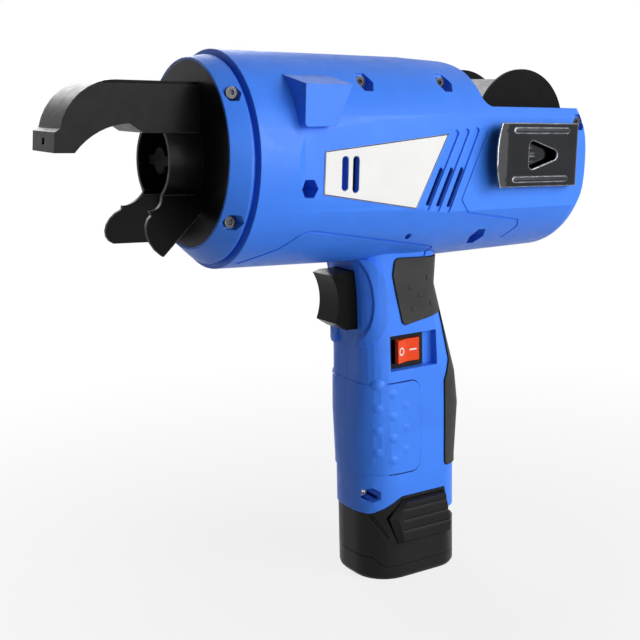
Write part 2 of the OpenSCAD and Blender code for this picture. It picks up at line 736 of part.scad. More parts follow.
// Each bump is the cap of a sunk ball
module finger_bumps(side) {
  ball = (bump_r * bump_r + bump_h * bump_h) / (2 * bump_h);
  sink = ball - bump_h;
  for (c = [0:len(bump_shares) - 1], i = [0:bump_rows[c] - 1])
    let (z = bump_shares[c][1] * grip_top + i * bump_pitch,
      seat = bump_seat(bump_shares[c][0] * grip_half_l, z))
    translate([seat[0] - sink * sin(seat[2]), side * (seat[1] - sink * cos(seat[2])), z])
      sphere(ball);
}
module grip_outer(side) {
  reach = 2 * grip_half_w;
  grip_form();
  finger_bumps(side);
  intersection() {
    grip_form(ear_proud);
    side_extrude(side > 0 ? trigger_half_w : -reach, side > 0 ? reach : -trigger_half_w) ear_outline();
  }
  intersection() {
    grip_form(panel_proud);
    side_extrude(-reach, reach) rounded(panel_round) polygon(scaled(panel_shares, [grip_half_l, grip_top]));
  }
}
module grip_cuts(side) {
  reach = 2 * grip_half_w;
  difference() {
    intersection() {
      side_extrude(-reach, reach) pad_outline();
      grip_form(over);
    }
    grip_form(pad_proud - pad_t - fit);
  }
  side_extrude(-reach, reach) parting();
  block([switch_front + edge, -trigger_half_w - slip, trigger_z - slip], [2 * grip_half_l,
    trigger_half_w + slip, trigger_z + trigger_h + slip]);
  if (side > 0) {
    block([rocker_x - recess_l[1], recess_floor, rocker_z - recess_h / 2], [rocker_x + recess_l[0],
      reach, rocker_z + recess_h / 2]);
    block([rocker_x - rocker_w / 2 - bezel_rim - fit, 0, rocker_z - rocker_h / 2 - bezel_rim - fit],
      [rocker_x + rocker_w / 2 + bezel_rim + fit, reach, rocker_z + rocker_h / 2 + bezel_rim + fit]);
    translate([grip_screw[0], grip_screw_seat, grip_screw[1]]) rotate([-90, 0, 0]) rotate(30)
      cylinder(r = grip_pocket_r, h = reach, $fn = 6);
  }
  translate([grip_screw[0], 0, grip_screw[1]]) y_rod(screw_bore_r, -screw_bite - over,
    grip_screw_seat + over);
}
function peg_place(s) = [switch_front - s[0] * switch_len, 0, trigger_z + trigger_h / 2 + s[1] * switch_h];
module grip_frames(side) {
  intersection() {
    grip_form(-grip_wall / 2);
    union() {
      translate([grip_screw[0], 0, grip_screw[1]]) y_rod(screw_boss_r, -grip_half_w, grip_half_w);
      for (s = peg_shares) translate(peg_place(s)) y_rod(peg_r, -grip_half_w, grip_half_w);
      block([-grip_half_l, -grip_half_w, stem_top + slip + block_h], [grip_half_l, grip_half_w,
        stem_top + slip + block_h + grip_wall]);
      if (side > 0) block([rocker_x - recess_l[1] - grip_wall, recess_floor - grip_wall,
        rocker_z - recess_h / 2 - grip_wall],
        [rocker_x + recess_l[0] + grip_wall, grip_half_w, rocker_z + recess_h / 2 + grip_wall]);
    }
  }
}
module shell(side) {
  color(blue) intersection() {
    half_space(side);
    difference() {
      union() {
        difference() {
          union() {
            in_barrel() {
              barrel_form();
              collar_form();
              if (side > 0) shoulder_block();
            }
            grip_outer(side);
          }
          in_barrel() barrel_cavity();
          grip_form(-grip_wall);
        }
        in_barrel() {
          barrel_frames();
          screw_bosses();
        }
        grip_frames(side);
      }
      in_barrel() {
        deck_cut();
        bay_cut();
        translate([-spool_x, 0, spool_z]) y_rod(axle_r + run, -bay_half_w - 2 * bay_wall - over,
          bay_half_w + 2 * bay_wall + over);
        screw_cuts(side);
        if (side > 0) panel_lines();
        translate([0, 0, plate_rise]) x_rod(plate_r + fit, plate_back, nose_x + over);
        x_rod(plate_r - shoulder_w, barrel_front - wall - over, plate_back + over);
      }
      if (side > 0) on_flat() flat_cuts();
      grip_cuts(side);
    }
  }
}
module left_shell() {
  shell(1);
}
module right_shell() {
  shell(-1);
}

module nose_plate() {
  color(black) in_barrel() difference() {
    union() {
      translate([0, 0, plate_rise]) x_rod(plate_r, plate_back, nose_x);
      x_rod(boss_r, plate_back - bearing_w, plate_back + over);
      translate([0, cutter_pivot[0], cutter_pivot[1]]) x_rod(cutter_pin_r,
        plate_back - cutter_t - 2 * slip, plate_back + over);
    }
    x_rod(twist_r + slip, plate_back - bearing_w - over, nose_x + over);
    x_rod(bearing_r + run, plate_back - bearing_w - over, plate_back);
    translate([0, 0, wire_z]) x_rod(guide_bore_r, plate_back - over, nose_x + over);
    for (s = nose_screw_shares, m = [0, 1]) mirror([0, m, 0]) let (p = nose_screw_place(s))
      translate([p[0], 0, p[2]]) {
      y_rod(screw_bore_r, p[1] - screw_len - over, barrel_r);
      y_rod(screw_head_r + fit, p[1], barrel_r);
    }
  }
}

// Arm that curls the wire, with the wire's groove along its inner curve
module arm_outline() {
  polygon(concat([[0, arm_top]],
    arc([arm_bend_x_share * arm_reach, arm_top - arm_bend_r], arm_bend_r, 90, arm_bend_end),
    [[arm_tip_shares[0] * arm_reach, arm_tip_shares[1] * arm_top], [arm_reach,
      arm_tip_shares[2] * arm_top]],
    arc(arm_inner_shares * arm_reach, arm_inner_r, arm_inner_ends[0], arm_inner_ends[1]),
    [[arm_root_shares[0] * arm_reach, arm_root_shares[1] * arm_top], [0, arm_root_shares[1] * arm_top]]));
}
module curl_arm() {
  color(steel) in_barrel() difference() {
    translate([nose_x, 0, 0]) side_extrude(-arm_half_w, arm_half_w) arm_outline();
    x_rod(throat_r + fit, nose_x - over, nose_x + throat_len + over);
    translate([nose_x, 0, -arm_groove_depth]) intersection() {
      side_extrude(-arm_groove_w / 2, arm_groove_w / 2) translate([0, 2 * arm_groove_depth]) difference() {
        arm_outline();
        translate([0, arm_groove_depth]) arm_outline();
      }
      block([throat_len + over, -arm_half_w, 0], [2 * arm_reach, arm_half_w, 2 * arm_top]);
    }
    for (s = [-1, 1]) translate([0, s * arm_half_w, arm_top]) rotate([45, 0, 0])
      block([nose_x, -edge, -edge], [nose_x + 2 * arm_reach, edge, edge]);
  }
}

// Throat tube that pinches in below and flares into two wings, the left one cut back to a tongue
module throat_profile() {
  waist_y = wing_waist_share * throat_r;
  waist_z = -sqrt(throat_r * throat_r - waist_y * waist_y);
  tip = wing_tip_shares * throat_r;
  difference() {
    circle(throat_r);
    circle(throat_r - throat_wall);
    translate([-waist_y + throat_wall, -2 * throat_r]) square([2 * (waist_y - throat_wall), 2 * throat_r]);
  }
  wing = [tip, [tip[0] - throat_wall, tip[1]], [waist_y - throat_wall, waist_z - throat_wall / 2],
    [waist_y - throat_wall, waist_z + throat_wall / 3], [waist_y, waist_z + throat_wall], [waist_y,
      waist_z]];
  polygon([for (i = [len(wing) - 1:-1:0]) wing[i]]);
  polygon([for (point = wing) [-point[0], point[1]]]);
}
module wing_outline() {
  fillet = wing_fillet_share * throat_r;
  nose = wing_nose_share * throat_r;
  nose_at = wing_nose_shares * throat_r;
  polygon(concat([[0, throat_r + over], [throat_len, throat_r + over]],
    arc([throat_len + fillet, -wing_fillet_drop_share * throat_r], fillet, 180, 270),
    arc(nose_at, nose, 60, -90),
    [[0, nose_at[1] - nose]]));
}
module wire_funnel() {
  color(black) in_barrel() difference() {
    intersection() {
      front_extrude(nose_x, nose_x + 3 * throat_len) throat_profile();
      translate([nose_x, 0, 0]) side_extrude(-3 * throat_r, 3 * throat_r) wing_outline();
    }
    block([nose_x + throat_len / 2, -arm_groove_w, 0], [nose_x + 2 * throat_len, arm_groove_w,
      throat_r + over]);
    translate([nose_x, 0, 0]) side_extrude(0, 3 * throat_r) polygon(left_wing_cut_shares * throat_r);
  }
}

module label_plate() {
  color("white") on_flat() difference() {
    side_extrude(0, label_t) polygon(scaled(label_shares, [barrel_front, barrel_r]));
    label_slots(-over, 2 * over);
  }
}

module grip_pad(side) {
  reach = 2 * grip_half_w;
  color(grey) intersection() {
    half_space(side);
    side_extrude(-reach, reach) offset(delta = -slip) pad_outline();
    difference() {
      grip_form(pad_proud);
      grip_form(pad_proud - pad_t);
    }
  }
}
module left_grip_pad() {
  grip_pad(1);
}
module right_grip_pad() {
  grip_pad(-1);
}

// Trigger with a hollow front, and the stem that works its switch
module trigger() {
  top = trigger_z + trigger_h;
  color(black) {
    intersection() {
      side_extrude(-trigger_half_w, trigger_half_w) difference() {
        polygon([[trigger_back, trigger_z], [trigger_front - trigger_lip, trigger_z],
          [trigger_front + trigger_lip / 2, trigger_z + trigger_lip],
          [trigger_front + trigger_lip, top - edge], [trigger_front, top], [trigger_back, top]]);
        translate([trigger_front + trigger_hollow_r, trigger_z + trigger_h / 2]) circle(trigger_hollow_r);
      }
      translate([trigger_back, 0, 0]) linear_extrude(2 * top) translate([grip_half_l / 2 - over, 0])
        rounded_rect(grip_half_l, 2 * trigger_half_w, trigger_round);
    }
    translate([0, 0, trigger_z + trigger_h / 2]) x_rod(plunger_r, switch_front - trigger_travel,
      trigger_back + over);
  }
}
module trigger_spring() {
  turns = 5;
  len_free = trigger_back - switch_front - 2 * wire_d - slip;
  color(steel) translate([switch_front + wire_d, 0, trigger_z + trigger_h / 2]) rotate([0, 90, 0])
    tube(coil_path(spring_r + plunger_r / 2, len_free / turns, turns, 8, 2 * spring_wire_r), spring_wire_r);
}
module trigger_switch() {
  z = trigger_z + trigger_h / 2;
  color("#303236") difference() {
    block([switch_front - switch_len, -switch_half_w, z - switch_h / 2], [switch_front, switch_half_w,
      z + switch_h / 2]);
    translate([0, 0, z]) x_rod(plunger_r + run, switch_front - 2 * trigger_travel - over,
      switch_front + over);
    for (s = peg_shares) translate(peg_place(s)) y_rod(peg_r + run, -grip_half_w, grip_half_w);
  }
}

module rocker_case() {
  color(black) translate([rocker_x, recess_floor, rocker_z]) difference() {
    union() {
      block([-rocker_w / 2 - 2 * bezel_rim, 0, -rocker_h / 2 - 2 * bezel_rim],
        [rocker_w / 2 + 2 * bezel_rim, bezel_t, rocker_h / 2 + 2 * bezel_rim]);
      block([-rocker_w / 2 - bezel_rim, -case_depth, -rocker_h / 2 - bezel_rim],
        [rocker_w / 2 + bezel_rim, over / 2, rocker_h / 2 + bezel_rim]);
    }
    block([-rocker_w / 2 - slip, -case_depth / 2, -rocker_h / 2 - slip],
      [rocker_w / 2 + slip, 2 * bezel_t, rocker_h / 2 + slip]);
    translate([0, -rocker_sink, 0]) z_rod(rocker_pin_r + run, -rocker_h / 2 - edge, rocker_h / 2 + edge);
  }
}
module rocker() {
  half = rocker_w / 2 - 2 * slip;
  lift = rocker_sink + bezel_t;
  pin = rocker_h / 2 + slip + edge / 2;
  color("orangered") translate([rocker_x, rocker_pivot_y, rocker_z]) rotate([0, 0, rocker_tilt]) {
    translate([0, lift, -rocker_h / 2]) linear_extrude(rocker_h)
      polygon([[-half, rocker_rise], [0, rocker_dip],
      [half, rocker_rise], [half, 0], [half / 2, -case_depth / 4], [-half / 2, -case_depth / 4],
        [-half, 0]]);
    z_rod(rocker_pin_r, -pin, pin);
  }
}

// Belt clip: one bent strip with a flared lip, a window and two pressed ribs
module clip_profile() {
  bend = clip_gap / 2 + clip_t;
  translate([clip_rear + bend, 0]) square([clip_leg_front - clip_rear - bend, clip_t]);
  translate([clip_rear + bend, clip_gap + clip_t]) square([clip_front - clip_rear - bend, clip_t]);
  translate([clip_rear + bend, bend]) difference() {
    circle(bend);
    circle(bend - clip_t);
    translate([0, -2 * bend]) square(4 * bend);
  }
  translate([clip_front, clip_gap + clip_t]) rotate(clip_lip_angle) square([clip_lip, clip_t]);
  translate([clip_front, clip_gap + clip_t]) circle(clip_t / 2);
}
// Side outline of the clip, with a bowed front end
module clip_outline() {
  end = clip_front + clip_lip * cos(clip_lip_angle);
  bow = (clip_h * clip_h / 4 + clip_lip_bulge * clip_lip_bulge) / (2 * clip_lip_bulge);
  turn = asin(clip_h / 2 / bow);
  polygon(concat([[clip_rear - over, clip_h / 2], [clip_rear - over, -clip_h / 2]],
    arc([end - bow, 0], bow, -turn, turn)));
}
// Window of three rounded corners, widest at the front
module clip_window() {
  front = clip_window_shares[0] * flat_len - clip_window_r;
  rear = clip_window_shares[1] * flat_len + clip_window_r;
  up = clip_window_h_share * clip_h - clip_window_r;
  lean = atan2(up, front - rear);
  polygon(concat(arc([front, up], clip_window_r, 0, 90 + lean), arc([rear, 0], clip_window_r, 90 + lean,
    270 - lean), arc([front, -up], clip_window_r, 270 - lean, 360)));
}
module belt_clip() {
  outer_y = clip_gap + 2 * clip_t;
  color("silver") on_flat() translate([0, 0, clip_z]) difference() {
    union() {
      intersection() {
        translate([0, 0, -clip_h / 2]) linear_extrude(clip_h) clip_profile();
        side_extrude(-over, 2 * outer_y + clip_lip) clip_outline();
      }
      for (s = [-1, 1]) intersection() {
        translate([0, outer_y - clip_rib_sink, s * (clip_h / 2 - clip_rib_inset)]) {
          x_rod(clip_rib_r, clip_rib_x[0], clip_rib_x[1]);
          for (x = clip_rib_x) translate([x, 0, 0]) sphere(clip_rib_r);
        }
        block([clip_rear, outer_y - clip_t / 2, -clip_h], [clip_front, 2 * outer_y, clip_h]);
      }
    }
    side_extrude(clip_t + clip_gap / 2, 2 * outer_y) clip_window();
    translate([clip_screw_x, 0, 0]) y_rod(screw_bore_r, -over, clip_t + over);
  }
}
module clip_screw() {
  color("silver") on_flat() translate([clip_screw_x, 0, clip_z]) difference() {
    union() {
      y_rod(clip_screw_head_r, clip_t, clip_t + screw_head_h);
      y_rod(screw_r, -2 * wall, clip_t + over);
    }
    block([-clip_screw_head_r - over, clip_t + screw_head_h / 2, -edge / 2], [clip_screw_head_r + over,
      2 * clip_gap, edge / 2]);
  }
}
module socket_screw(reach) {
  difference() {
    union() {
      y_rod(screw_head_r, 0, screw_head_h);
      y_rod(screw_r, -reach, over);
    }
    translate([0, screw_head_h / 3, 0]) rotate([-90, 0, 0])
      cylinder(r = socket_r, h = screw_head_h, $fn = 6);
  }
}
module shell_screws() {
  color(steel) {
    in_barrel() for (s = screw_shares) translate(screw_place(s)) socket_screw(screw_reach(s));
    translate([grip_screw[0], grip_screw_seat, grip_screw[1]]) socket_screw(grip_screw_seat + screw_bite);
  }
}
module nose_screws() {
  color(steel) in_barrel() for (s = nose_screw_shares, m = [0, 1]) mirror([0, m, 0])
    translate(nose_screw_place(s)) socket_screw(screw_len);
}

module spool() {
  color(black) in_barrel() translate([-spool_x, 0, spool_z]) difference() {
    union() {
      y_rod(hub_r, -spool_half_w, spool_half_w);
      for (s = [-1, 1]) y_rod(spool_r, s > 0 ? spool_half_w - flange_t : -spool_half_w,
        s > 0 ? spool_half_w : flange_t - spool_half_w);
    }
    y_rod(axle_r + run, -spool_half_w - over, spool_half_w + over);
  }
}
module wire_core() {
  half = spool_half_w - flange_t;
  color(steel) in_barrel() translate([-spool_x, 0, spool_z]) difference() {
    y_rod(wire_core_r, -half, half);
    y_rod(hub_r + fit, -spool_half_w, spool_half_w);
  }
}
loop_steps = 24;
winding_r = (wire_core_r + wire_r + fit) / cos(180 / loop_steps);
winding_len = 2 * (spool_half_w - flange_t - wire_d - fit);
winding_path = coil_path(winding_r, winding_len / wire_turns, wire_turns, loop_steps, wire_d);
module wire_winding() {
  color(steel) in_barrel() translate([-spool_x, -winding_len / 2, spool_z]) rotate([-90, 0, 0])
    tube(winding_path, wire_r);
}
echo(wire_winding_gap = coil_gap(winding_path, loop_steps, wire_d));
module spool_axle() {
  half = bay_half_w + 2 * bay_wall;
  color(steel) in_barrel() translate([-spool_x, 0, spool_z]) y_rod(axle_r, -half, half);
}

module twist_motor() {
  color("#5b5e63") in_barrel() difference() {
    x_rod(motor_r, motor_x, motor_x + motor_len);
    x_rod(motor_shaft_r + run, motor_x + motor_len / 2, motor_x + motor_len + over);
  }
}
module sun_gear() {
  color(steel) in_barrel() {
    front_extrude(planet_x, planet_x + planet_t) polygon(gear_points(sun_teeth, gear_add, gear_ded));
    x_rod(motor_shaft_r, motor_x + motor_len / 2, planet_x + planet_t);
  }
}
module planet_gear(i) {
  color(steel) in_barrel() rotate([120 * i, 0, 0]) translate([0, planet_orbit, 0]) difference() {
    front_extrude(planet_x, planet_x + planet_t) rotate(180 / planet_teeth)
      polygon(gear_points(planet_teeth, gear_add, gear_ded));
    x_rod(pin_r + run, planet_x - over, planet_x + planet_t + over);
  }
}
module planet_gear_1() {
  planet_gear(0);
}
module planet_gear_2() {
  planet_gear(1);
}
module planet_gear_3() {
  planet_gear(2);
}
module ring_gear() {
  color("#76797e") in_barrel() difference() {
    x_rod(ring_out_r, ring_back, ring_back + ring_len);
    front_extrude(ring_back + ring_floor, ring_back + ring_len + over) rotate(180 / ring_teeth)
      polygon(gear_points(ring_teeth, gear_ded, gear_add, 0.38, 0.2));
    x_rod(motor_shaft_r + over, ring_back - over, ring_back + ring_floor + over);
  }
}
module planet_carrier() {
  color(steel) in_barrel() difference() {
    union() {
      x_rod(carrier_r, carrier_x, carrier_x + carrier_t);
      x_rod(carrier_hub_r, carrier_x, carrier_x + carrier_hub_len);
      for (i = [0:2]) rotate([120 * i, 0, 0]) translate([0, planet_orbit, 0])
        x_rod(pin_r, planet_x, carrier_x + over);
    }
    x_rod(twist_r + run, carrier_x + carrier_t, carrier_x + carrier_hub_len + over);
  }
}
// Hook with two curved claws
module hook_profile() {
  claw = hook_r - hook_ring / 2;
  for (a = [0, 180]) rotate(a) {
    difference() {
      circle(hook_r);
      circle(hook_r - hook_ring);
      translate([-2 * hook_r, -4 * hook_r]) square(4 * hook_r);
      translate([-2 * hook_r, 0]) rotate(-60) square([2 * hook_r, 4 * hook_r]);
    }
    translate([0, -hook_ring / 2]) square([claw + hook_ring / 2 - over, hook_ring]);
  }
  circle(twist_r);
}
module twist_hook() {
  color(steel) in_barrel() {
    x_rod(twist_r, carrier_x + carrier_t, hook_x + over);
    front_extrude(hook_x, hook_x + hook_t) hook_profile();
  }
}
module nose_bearing() {
  color("#c4c7cb") in_barrel() rotate([0, 90, 0]) translate([0, 0, plate_back - bearing_w])
    rotate_extrude() difference() {
    translate([twist_r + run, 0]) square([bearing_r - twist_r - run, bearing_w]);
    translate([(bearing_r + twist_r) / 2, 0]) circle(edge, $fn = 24);
  }
}
module cutter() {
  x0 = plate_back - slip - cutter_t;
  color("#6b6e73") in_barrel() translate([x0, cutter_pivot[0], cutter_pivot[1]]) difference() {
    front_extrude(0, cutter_t) {
      circle(cutter_pin_r + cutter_half_w);
      rotate(-cutter_lift) translate([-cutter_reach, -cutter_half_w])
        square([cutter_reach, 2 * cutter_half_w]);
      rotate(cutter_tail_angle) translate([0, -cutter_half_w]) square([cutter_tail, 2 * cutter_half_w]);
    }
    x_rod(cutter_pin_r + run, -over, cutter_t + over);
  }
}

module feed_motor() {
  color("#5b5e63") in_barrel() translate([feed_motor_x, feed_y, 0]) difference() {
    z_rod(feed_motor_r, feed_motor_top - feed_motor_len, feed_motor_top);
    z_rod(motor_shaft_r + run, feed_motor_top - feed_motor_len / 2, feed_motor_top + over);
  }
}
module feed_pinion() {
  color(steel) in_barrel() translate([feed_motor_x, feed_y, 0]) {
    translate([0, 0, feed_gear_top - gear_t]) linear_extrude(gear_t) rotate(180 / pinion_teeth)
      polygon(gear_points(pinion_teeth, gear_add, gear_ded));
    z_rod(motor_shaft_r, feed_motor_top - feed_motor_len / 2, feed_gear_top);
  }
}
module feed_roller() {
  color(steel) in_barrel() translate([feed_x, feed_y, 0]) {
    translate([0, 0, feed_gear_top - gear_t]) linear_extrude(gear_t)
      polygon(gear_points(feed_teeth, gear_add, gear_ded));
    z_rod(shaft_r, feed_gear_top - over, wire_z);
    z_rod(roller_r, wire_z - roller_t / 2, wire_z + roller_t / 2);
  }
}
module feed_frame() {
  low = frame_top - frame_t;
  color("#8a8d92") in_barrel() difference() {
    union() {
      block([frame_back, -frame_half_w, low], [frame_front, frame_half_w, frame_top]);
      for (a = [100, 180, 260]) translate([feed_motor_x, feed_y, 0] + post_ring * [cos(a), sin(a), 0])
        z_rod(post_r, feed_motor_top, low + over);
      translate([lever_pivot[0], lever_pivot[1], 0]) z_rod(pin_r, low, lever_z + lever_t);
      block([lever_tail[0] - spring_r - edge, frame_half_w - frame_t, low],
        [lever_tail[0] + spring_r + edge, frame_half_w, lever_z + lever_half_w]);
      block([frame_front - 2 * frame_t, -lever_half_w, low], [frame_front, lever_half_w,
        wire_z + lever_half_w]);
    }
    translate([feed_x, feed_y, 0]) z_rod(shaft_r + run, low - over, frame_top + over);
    translate([0, 0, wire_z]) x_rod(guide_r + run, frame_front - 3 * frame_t, frame_front + over);
  }
}
module pressure_lever() {
  top = lever_z + lever_t;
  roller = [feed_x, press_y];
  color("#6b6e73") in_barrel() difference() {
    union() {
      translate([0, 0, lever_z]) linear_extrude(lever_t) {
        obround(lever_pivot, roller, lever_half_w);
        obround(roller, lever_tail, lever_half_w - edge / 2);
      }
      translate([roller[0], roller[1], 0]) z_rod(pin_r, wire_z - roller_t / 2, lever_z + over);
    }
    translate([lever_pivot[0], lever_pivot[1], 0]) z_rod(pin_r + run, lever_z - over, top + over);
  }
}
module pressure_roller() {
  color(steel) in_barrel() translate([feed_x, press_y, 0]) difference() {
    z_rod(press_r, wire_z - roller_t / 2, wire_z + roller_t / 2);
    z_rod(pin_r + run, 0, 2 * wire_z);
  }
}
module pressure_spring() {
  turns = 5;
  y0 = lever_tail[1] + lever_half_w + wire_d;
  y1 = frame_half_w - frame_t - wire_d;
  color(steel) in_barrel() translate([lever_tail[0], y0, lever_z + lever_t / 2]) rotate([-90, 0, 0])
    tube(coil_path(spring_r, (y1 - y0) / turns, turns, 8, 2 * spring_wire_r), spring_wire_r);
}
module guide_tube() {
  color("#b08d3c") in_barrel() translate([0, 0, wire_z]) difference() {
    x_rod(guide_r, frame_front - 2 * frame_t, guide_front);
    x_rod(guide_bore_r, frame_front - 3 * frame_t, guide_front + over);
  }
}
module control_board() {
  l = board_x[1] - board_x[0];
  top = board_z + board_t;
  color("#1d6b3a") in_barrel() {
    block([board_x[0], -board_half_w, board_z], [board_x[1], board_half_w, top]);
    for (i = [0:len(chip_shares) - 1]) let (c = chip_shares[i], h = chip_h_shares[i] * board_room)
      translate([board_x[0] + c[0] * l, c[1] * board_half_w, 0])
        z_rod(2 * h, board_z + board_t / 2, top + h);
  }
}

// Battery: a shaped pack whose stem of three cells goes up into the grip
module battery_form(grow = 0) {
  s = grip_shares[0];
  levels = [[0, -base_chamfer], [base_chamfer, -base_chamfer / 4], [2 * base_chamfer, 0], [2 * parting_back,
    0]];
  loft([for (l = levels) grip_ring(l[0], battery_front_share * grip_half_l, s[2] * grip_half_l,
    s[3] * grip_half_w, s[4] * grip_front_round, grow + l[1])]);
}
// Outline under the battery's seam, which steps down behind the front corner
module seam_outline(gap = 0) {
  side_h = base_h - seam_drop;
  offset(delta = gap) polygon([[2 * grip_half_l, base_h], [seam_shares[0] * grip_half_l, base_h],
    [seam_shares[1] * grip_half_l, side_h], [-2 * grip_half_l, side_h],
    [-2 * grip_half_l, -2 * over], [2 * grip_half_l, -2 * over]]);
}
module stem() {
  l = stem_x[1] - stem_x[0];
  translate([(stem_x[0] + stem_x[1]) / 2, 0, parting_front / 2])
    linear_extrude(stem_top - parting_front / 2)
    rounded_rect(l, 2 * stem_half_w, stem_round);
}
module cells_at() {
  for (p = [[cell_back_x, cell_row], [cell_back_x, -cell_row], [cell_back_x + cell_row * sqrt(3), 0]])
    translate([p[0], p[1], cell_z]) children();
}
module latch_pockets(gap) {
  for (s = [-1, 1]) side_extrude(s > 0 ? latch_seat : -2 * grip_half_w,
    s > 0 ? 2 * grip_half_w : -latch_seat)
    offset(delta = gap) polygon(latch_foot);
}
module battery_case() {
  reach = 2 * grip_half_w;
  color(black) difference() {
    union() {
      intersection() {
        battery_form();
        side_extrude(-reach, reach) parting(-slip);
      }
      stem();
    }
    cells_at() z_rod(cell_r + run, 0, cell_len + run);
    side_extrude(-reach, reach) seam_outline(base_seam);
    latch_pockets(slip);
    difference() {
      side_extrude(-reach, reach) let (p = scaled(slash_shares, [grip_half_l, parting_back]))
        obround(p[0], p[1], slash_r);
      battery_form(-slash_depth);
    }
  }
}
module battery_base() {
  reach = 2 * grip_half_w;
  color(black) {
    intersection() {
      battery_form();
      side_extrude(-reach, reach) seam_outline();
    }
    translate([stem_x[0] / 2, 0, base_chamfer])
      linear_extrude(base_h - seam_drop + base_seam - base_chamfer)
      rounded_rect(grip_half_l, grip_half_w, stem_round);
  }
}
module battery_cells() {
  color("#2b8f6a") cells_at() z_rod(cell_r, 0, cell_len);
}
module battery_contacts() {
  color("#c99a3b") for (y = contact_y) block([-contact_w / 2, y - contact_t / 2, stem_top],
    [contact_w / 2, y + contact_t / 2, stem_top + contact_h]);
}
module terminal_block() {
  z0 = stem_top + slip;
  color("#d8d3c4") difference() {
    block([-contact_w - contact_t, -stem_half_w, z0], [contact_w + contact_t, stem_half_w, z0 + block_h]);
    for (y = contact_y) block([-contact_w / 2 - slip, y - contact_t / 2 - slip, z0 - over],
      [contact_w / 2 + slip, y + contact_t / 2 + slip, z0 + contact_h + over]);
  }
}
// Latch button: a low six-sided frustum with grooves for the finger
module latch(side) {
  foot_y = latch_seat + latch_travel + slip;
  rim_y = grip_half_w + over / 2;
  face_y = grip_half_w + latch_proud;
  levels = [[foot_y, latch_foot], [rim_y, latch_foot], [face_y, latch_face]];
  color(grey) mirror([0, side > 0 ? 0 : 1, 0]) difference() {
    loft([for (l = levels) [for (p = l[1]) [p[0], l[0], p[1]]]]);
    for (g = latch_groove_shares) translate([0, face_y + latch_groove_r / 3, g * parting_back])
      x_rod(latch_groove_r, -grip_half_l, latch_face_shares[5][0] * grip_half_l);
  }
}
module left_latch() {
  latch(1);
}
module right_latch() {
  latch(-1);
}
module latch_springs() {
  turns = 2;
  len_free = latch_travel + slip - 2 * spring_wire_r - 2 * run;
  centre = [0, (latch_foot[1][1] + latch_foot[5][1]) / 2];
  color(steel) for (m = [0, 1]) mirror([0, m, 0]) translate([centre[0],
    latch_seat + spring_wire_r + run, centre[1]]) rotate([-90, 0, 0])
    tube(coil_path(spring_r, len_free / turns, turns, 8, 2 * spring_wire_r), spring_wire_r);
}

left_shell();
right_shell();
nose_plate();
curl_arm();
wire_funnel();
label_plate();
left_grip_pad();
right_grip_pad();
trigger();
trigger_spring();
trigger_switch();
rocker();
rocker_case();
belt_clip();
clip_screw();
shell_screws();
nose_screws();
spool();
wire_core();
wire_winding();
spool_axle();
twist_motor();
sun_gear();
planet_gear_1();
planet_gear_2();
planet_gear_3();
ring_gear();
planet_carrier();
twist_hook();
nose_bearing();
cutter();
feed_motor();
feed_pinion();
feed_roller();
feed_frame();
pressure_lever();
pressure_roller();
pressure_spring();
guide_tube();
control_board();
battery_case();
battery_base();
battery_cells();
battery_contacts();
terminal_block();
left_latch();
right_latch();
latch_springs();
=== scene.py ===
"""Looks of a rebar tying tool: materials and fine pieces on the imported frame, in a white studio."""

import json
import math

import bmesh
import bpy
from mathutils import Matrix, Vector
from mathutils.bvhtree import BVHTree
from mathutils.geometry import convex_hull_2d


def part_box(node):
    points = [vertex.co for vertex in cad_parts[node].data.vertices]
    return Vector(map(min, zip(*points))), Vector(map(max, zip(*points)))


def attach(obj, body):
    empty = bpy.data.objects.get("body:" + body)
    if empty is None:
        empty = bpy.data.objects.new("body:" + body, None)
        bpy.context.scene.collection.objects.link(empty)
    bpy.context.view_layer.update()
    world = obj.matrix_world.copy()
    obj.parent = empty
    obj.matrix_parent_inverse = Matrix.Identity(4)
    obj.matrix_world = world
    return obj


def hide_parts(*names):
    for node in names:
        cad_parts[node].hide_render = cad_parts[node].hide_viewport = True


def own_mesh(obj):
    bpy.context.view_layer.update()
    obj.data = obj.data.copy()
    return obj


MM = 0.001

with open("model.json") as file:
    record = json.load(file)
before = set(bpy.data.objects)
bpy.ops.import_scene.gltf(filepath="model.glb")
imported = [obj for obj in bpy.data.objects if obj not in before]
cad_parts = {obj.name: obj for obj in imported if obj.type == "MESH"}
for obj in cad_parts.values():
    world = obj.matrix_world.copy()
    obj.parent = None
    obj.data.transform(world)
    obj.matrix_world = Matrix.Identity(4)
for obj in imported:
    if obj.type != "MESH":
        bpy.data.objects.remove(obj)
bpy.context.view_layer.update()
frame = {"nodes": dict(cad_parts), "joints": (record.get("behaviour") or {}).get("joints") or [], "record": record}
nodes = frame["nodes"]
joints = {joint["name"]: joint for joint in frame["joints"]}
scene = bpy.context.scene
scene.view_settings.view_transform = "Standard"

ALONG_X, ALONG_Y, ALONG_Z = Vector((1, 0, 0)), Vector((0, 1, 0)), Vector((0, 0, 1))
# The barrel is pitched nose up, along the twist drive's axis
barrel_x = Vector(joints["twist_spin"]["axis"])
barrel_z = barrel_x.cross(ALONG_Y)


# Small helpers for node trees


def add_node(tree, kind, inputs=None, **settings):
    """A node of that kind with its settings, and input values or links by socket name or number."""
    node = tree.nodes.new(kind)
    for name, value in settings.items():
        setattr(node, name, value)
    for key, value in (inputs or {}).items():
        socket = node.inputs[key]
        if isinstance(value, bpy.types.NodeSocket):
            tree.links.new(value, socket)
        else:
            socket.default_value = value
    return node


def maths(tree, operation, first, second):
    node = add_node(tree, "ShaderNodeMath", {0: first, 1: second}, operation=operation)
    return node.outputs["Value"]


def map_range(tree, value, source, target):
    """A value stretched from the source range to the target range, and held inside it."""
    ends = {"From Min": source[0], "From Max": source[1], "To Min": target[0], "To Max": target[1]}
    return add_node(tree, "ShaderNodeMapRange", {"Value": value, **ends}).outputs["Result"]


